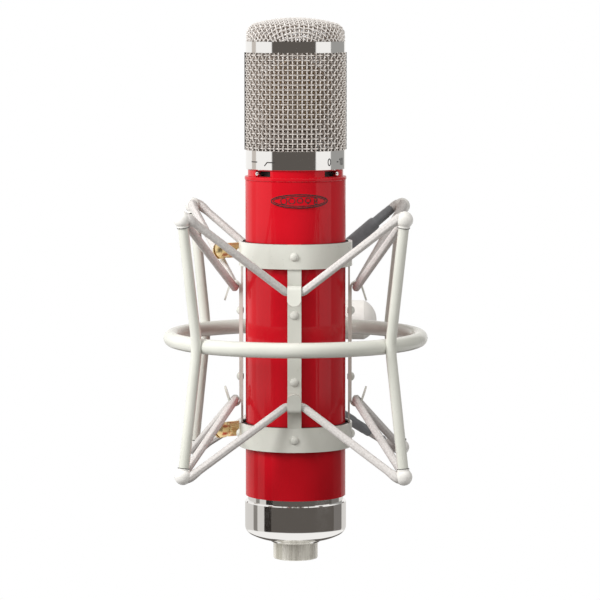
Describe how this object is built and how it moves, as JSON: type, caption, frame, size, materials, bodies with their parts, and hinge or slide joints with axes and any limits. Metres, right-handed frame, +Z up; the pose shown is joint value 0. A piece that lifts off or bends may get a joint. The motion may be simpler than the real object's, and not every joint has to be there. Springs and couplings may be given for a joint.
{
  "type": "valve condenser microphone in an elastic shock mount",
  "caption": "Side-address studio microphone with a mesh head, two slide switches and a multi-pin connector, hung on laced elastics inside a tilting ring mount.",
  "frame": {"origin": "centre of the mouth of the 5/8 inch stand thread, under the tilt pivot", "axes": "+Z up along the microphone and the stand, -Y towards the front of the microphone, +X towards the side of the tilt knob"},
  "size_m": [0.1162, 0.1503, 0.2383],
  "materials": {
    "frame_paint": "satin pale grey paint",
    "rivet_steel": "satin",
    "adapter_paint": "satin pale grey paint",
    "knob_plastic": "smooth pale grey moulding",
    "brass": "polished",
    "fibre": "pressed fibre board",
    "elastic": "braided cover",
    "sleeve_rubber": "matt shrink sleeve",
    "liner_rubber": "matt",
    "red_lacquer": "gloss lacquer",
    "chrome": "polished",
    "mesh_steel": "woven nickelled wire",
    "capsule_brass": "satin",
    "diaphragm_gold": "gold film",
    "black_plastic": "moulded",
    "badge_metal": "lacquered plate with a dark rim",
    "valve_glass": "clear",
    "transformer_iron": "laminated core",
    "capacitor_case": "film capacitors",
    "connector_nickel": "satin nickel"
  },
  "bodies": {
    "stand_adapter": {"stand_adapter": "adapter_paint", "thread_insert": "brass"},
    "outer_frame": {"support_ring": "frame_paint", "post_front_left": "frame_paint", "post_front_right": "frame_paint", "post_rear_left": "frame_paint", "post_rear_right": "frame_paint", "upper_ball_caps": "frame_paint", "lower_ball_caps": "frame_paint", "ring_bracket": "frame_paint", "tilt_bolt": "rivet_steel", "friction_washers": "fibre", "upper_elastic": "elastic", "lower_elastic": "elastic", "upper_sleeve": "sleeve_rubber", "lower_sleeve": "sleeve_rubber"},
    "tilt_knob": {"tilt_knob": "knob_plastic"},
    "cradle": {"upper_band": "frame_paint", "lower_band": "frame_paint", "strap_front": "frame_paint", "strap_left": "frame_paint", "strap_right": "frame_paint", "strap_rear": "frame_paint", "hook_strip_front": "frame_paint", "hook_strip_left": "frame_paint", "hook_strip_right": "frame_paint", "hook_strip_rear": "frame_paint", "rivets": "rivet_steel", "band_liners": "liner_rubber", "clamp_nuts": "rivet_steel"},
    "upper_thumbscrew": {"upper_thumbscrew": "brass"},
    "lower_thumbscrew": {"lower_thumbscrew": "brass"},
    "microphone": {"base_ring": "chrome", "side_mesh": "mesh_steel", "inner_mesh": "mesh_steel", "basket_ribs": "mesh_steel", "top_ring": "chrome", "dome_mesh": "mesh_steel", "capsule_body": "capsule_brass", "diaphragms": "diaphragm_gold", "capsule_saddle": "black_plastic", "body_sleeve": "red_lacquer", "badge": "badge_metal", "low_cut_switch": "black_plastic", "pad_switch": "black_plastic", "chassis_rails": "brass", "circuit_board": "fibre", "valve": "valve_glass", "valve_socket": "black_plastic", "output_transformer": "transformer_iron", "capacitors": "capacitor_case", "base_spacer": "chrome", "base_cup": "chrome", "connector_shell": "connector_nickel", "connector_insert": "black_plastic", "connector_pins": "connector_nickel"},
    "low_cut_knob": {"low_cut_knob": "chrome"},
    "pad_knob": {"pad_knob": "chrome"}
  },
  "joints": [
    {"name": "mount_tilt", "type": "hinge", "parent": "stand_adapter", "child": "outer_frame", "pos_m": [0, 0, 0.032], "axis": [1, 0, 0], "range_deg": [-90, 25]},
    {"name": "tilt_knob_turn", "type": "hinge", "parent": "outer_frame", "child": "tilt_knob", "pos_m": [0.02, 0, 0.032], "axis": [1, 0, 0], "continuous": true},
    {"name": "suspension_bounce", "type": "slide", "parent": "outer_frame", "child": "cradle", "axis": [0, 0, 1], "range_m": [-0.006, 0.006], "stiffness_N_per_m": 2000, "springref_m": 0.00371, "deforming": ["upper_elastic", "lower_elastic", "upper_sleeve", "lower_sleeve"]},
    {"name": "upper_thumbscrew_turn", "type": "hinge", "parent": "cradle", "child": "upper_thumbscrew", "pos_m": [-0.0174, -0.0568, 0.0693], "axis": [-0.8, -0.6, 0], "continuous": true},
    {"name": "lower_thumbscrew_turn", "type": "hinge", "parent": "cradle", "child": "lower_thumbscrew", "pos_m": [-0.0174, -0.0568, -0.0105], "axis": [-0.8, -0.6, 0], "continuous": true},
    {"name": "microphone_turn", "type": "hinge", "parent": "cradle", "child": "microphone", "pos_m": [0, -0.08, 0.032], "axis": [0, 0, 1], "continuous": true},
    {"name": "low_cut_slide", "type": "slide", "parent": "microphone", "child": "low_cut_knob", "axis": [0.7337, -0.6794, 0], "range_m": [0, 0.0046]},
    {"name": "pad_slide", "type": "slide", "parent": "microphone", "child": "pad_knob", "axis": [0.6334, 0.7738, 0], "range_m": [-0.0046, 0]}
  ]
}
